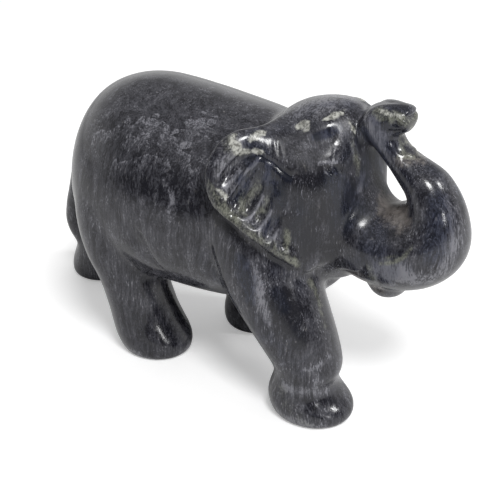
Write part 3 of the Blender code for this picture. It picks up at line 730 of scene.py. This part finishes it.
cream_stone = blend(crumbs, (0.13, 0.13, 0.115, 1), (0.5, 0.5, 0.46, 1))
colour = blend(work("MULTIPLY", frayed_mark("cream", 0.25, 0.75), 0.92), colour, cream_stone)
feed(shader.inputs["Base Color"], colour)

# Polish: glossy, duller in the cream and in the hollows that no polishing wheel reached
gloss = work("ADD", remap(fibre, 0.0, 1.0, 0.14, 0.22), work("MULTIPLY", mottle, 0.05))
gloss = work("ADD", gloss, work("MULTIPLY", reading("unpolished"), 0.4))
feed(shader.inputs["Roughness"], work("ADD", gloss, work("MULTIPLY", frayed_mark("cream", 0.2, 0.8), 0.15)))
bump = nodes.new("ShaderNodeBump")
bump.inputs["Strength"].default_value = 0.4
bump.inputs["Distance"].default_value = 0.00004
feed(bump.inputs["Height"], work("ADD", work("MULTIPLY", fine, 0.6), work("MULTIPLY", patchy, 0.6)))
feed(shader.inputs["Normal"], bump.outputs["Normal"])
skin.materials.clear()
skin.materials.append(stone)

# The table top
# A plain pale sheet of paper under the statue, so wide that its edge is never in view. It glows a
# little to the viewer alone, as an overlit sheet does, and the stone does not mirror that glow.
table = bmesh.new()
bmesh.ops.create_grid(table, x_segments=1, y_segments=1, size=3.0)
sheet = bpy.data.meshes.new("table_top")
table.to_mesh(sheet)
table.free()
floor = bpy.data.objects.new("table_top", sheet)
bpy.context.scene.collection.objects.link(floor)
paper = bpy.data.materials.new("white_paper")
paper.use_nodes = True
white = paper.node_tree.nodes["Principled BSDF"]
white.inputs["Base Color"].default_value = (0.9, 0.9, 0.9, 1)
white.inputs["Roughness"].default_value = 0.9
white.inputs["Emission Color"].default_value = (1.0, 1.0, 1.0, 1)
to_eye = paper.node_tree.nodes.new("ShaderNodeLightPath").outputs["Is Camera Ray"]
lift = paper.node_tree.nodes.new("ShaderNodeMath")
lift.operation = "MULTIPLY"
lift.inputs[1].default_value = 0.32
paper.node_tree.links.new(to_eye, lift.inputs[0])
paper.node_tree.links.new(lift.outputs[0], white.inputs["Emission Strength"])
sheet.materials.append(paper)

# Light and camera
# A white sheet runs under and behind the statue, and the room on the viewer's side is dim. Three
# small soft lights stand round it: one high in front, one low to the right, one behind the right.
AIM = Vector((0.00625, 0.0, 0.029))  # m, in the middle of the chest
VIEW_TURN = 33.0  # degrees, the viewer's side, from straight out of the right flank
VIEW_HEIGHT = 28.0  # degrees, over the table
VIEW_DISTANCE = 0.275  # m
VIEW_LENS = 79.2  # mm
world = bpy.data.worlds.new("white sheet and dim room")
bpy.context.scene.world = world
world.use_nodes = True
sky, sky_links = world.node_tree.nodes, world.node_tree.links
background = sky["Background"]


def sky_value(operation, *values):
    """One number worked out from others."""
    node = sky.new("ShaderNodeMath")
    node.operation = operation
    for socket, value in zip(node.inputs, values):
        if isinstance(value, float):
            socket.default_value = value
        else:
            sky_links.new(value, socket)
    return node.outputs[0]


def sky_step(value, low, high, start, end):
    """A number that goes smoothly from start to end while the value goes from low to high."""
    node = sky.new("ShaderNodeMapRange")
    node.interpolation_type = "SMOOTHSTEP"
    sky_links.new(value, node.inputs["Value"])
    for name, number in (("From Min", low), ("From Max", high), ("To Min", start), ("To Max", end)):
        node.inputs[name].default_value = number
    return node.outputs["Result"]


direction = sky.new("ShaderNodeTexCoord").outputs["Generated"]
parts = sky.new("ShaderNodeSeparateXYZ")
sky_links.new(direction, parts.inputs[0])
to_viewer = sky_value(
    "ADD",
    sky_value("MULTIPLY", parts.outputs["X"], math.sin(math.radians(VIEW_TURN))),
    sky_value("MULTIPLY", parts.outputs["Y"], -math.cos(math.radians(VIEW_TURN))),
)
height = parts.outputs["Z"]
behind = sky_step(height, 0.2, 0.6, 1.0, 0.45)  # the hung sheet, paler above
room = sky_step(height, 0.3, 0.8, 0.12, 0.5)  # the dim room, with a pale ceiling
front = sky_step(to_viewer, -0.25, 0.35, 0.0, 1.0)
glow = sky_value("ADD", sky_value("MULTIPLY", behind, sky_value("SUBTRACT", 1.0, front)),
                 sky_value("MULTIPLY", room, front))
seen = sky.new("ShaderNodeLightPath").outputs["Is Camera Ray"]
sky_links.new(sky_value("MAXIMUM", glow, seen), background.inputs["Strength"])
background.inputs["Color"].default_value = (1.0, 1.0, 1.0, 1)


def facing(turn, height, distance):
    """Stands a thing so that it faces the statue, at a turn from the right flank, a height in
    degrees and a distance in metres."""
    turn, height = math.radians(turn), math.radians(height)
    out, up = math.cos(height), math.sin(height)
    towards = Vector((math.sin(turn) * out, -math.cos(turn) * out, up))
    turned = towards.to_track_quat("Z", "Y").to_matrix().to_4x4()
    return Matrix.Translation(AIM + towards * distance) @ turned


def lamp(name, turn, height, distance, width, power):
    """A round soft light."""
    light = bpy.data.lights.new(name, "AREA")
    light.shape = "DISK"
    light.size = width
    light.energy = power
    holder = bpy.data.objects.new(name, light)
    holder.matrix_world = facing(turn, height, distance)
    bpy.context.scene.collection.objects.link(holder)


lamp("high in front", 48.0, 54.0, 1.0, 0.28, 6.0)
lamp("low on the right", 70.0, 16.0, 1.0, 0.08, 0.7)
lamp("behind the right", 111.0, 43.0, 1.0, 0.12, 2.0)

camera = bpy.data.objects.new("camera", bpy.data.cameras.new("camera"))
camera.data.lens = VIEW_LENS
camera.data.clip_start = 0.01
camera.matrix_world = facing(VIEW_TURN, VIEW_HEIGHT, VIEW_DISTANCE)
bpy.context.scene.collection.objects.link(camera)
bpy.context.scene.camera = camera
bpy.context.scene.view_settings.view_transform = "Standard"
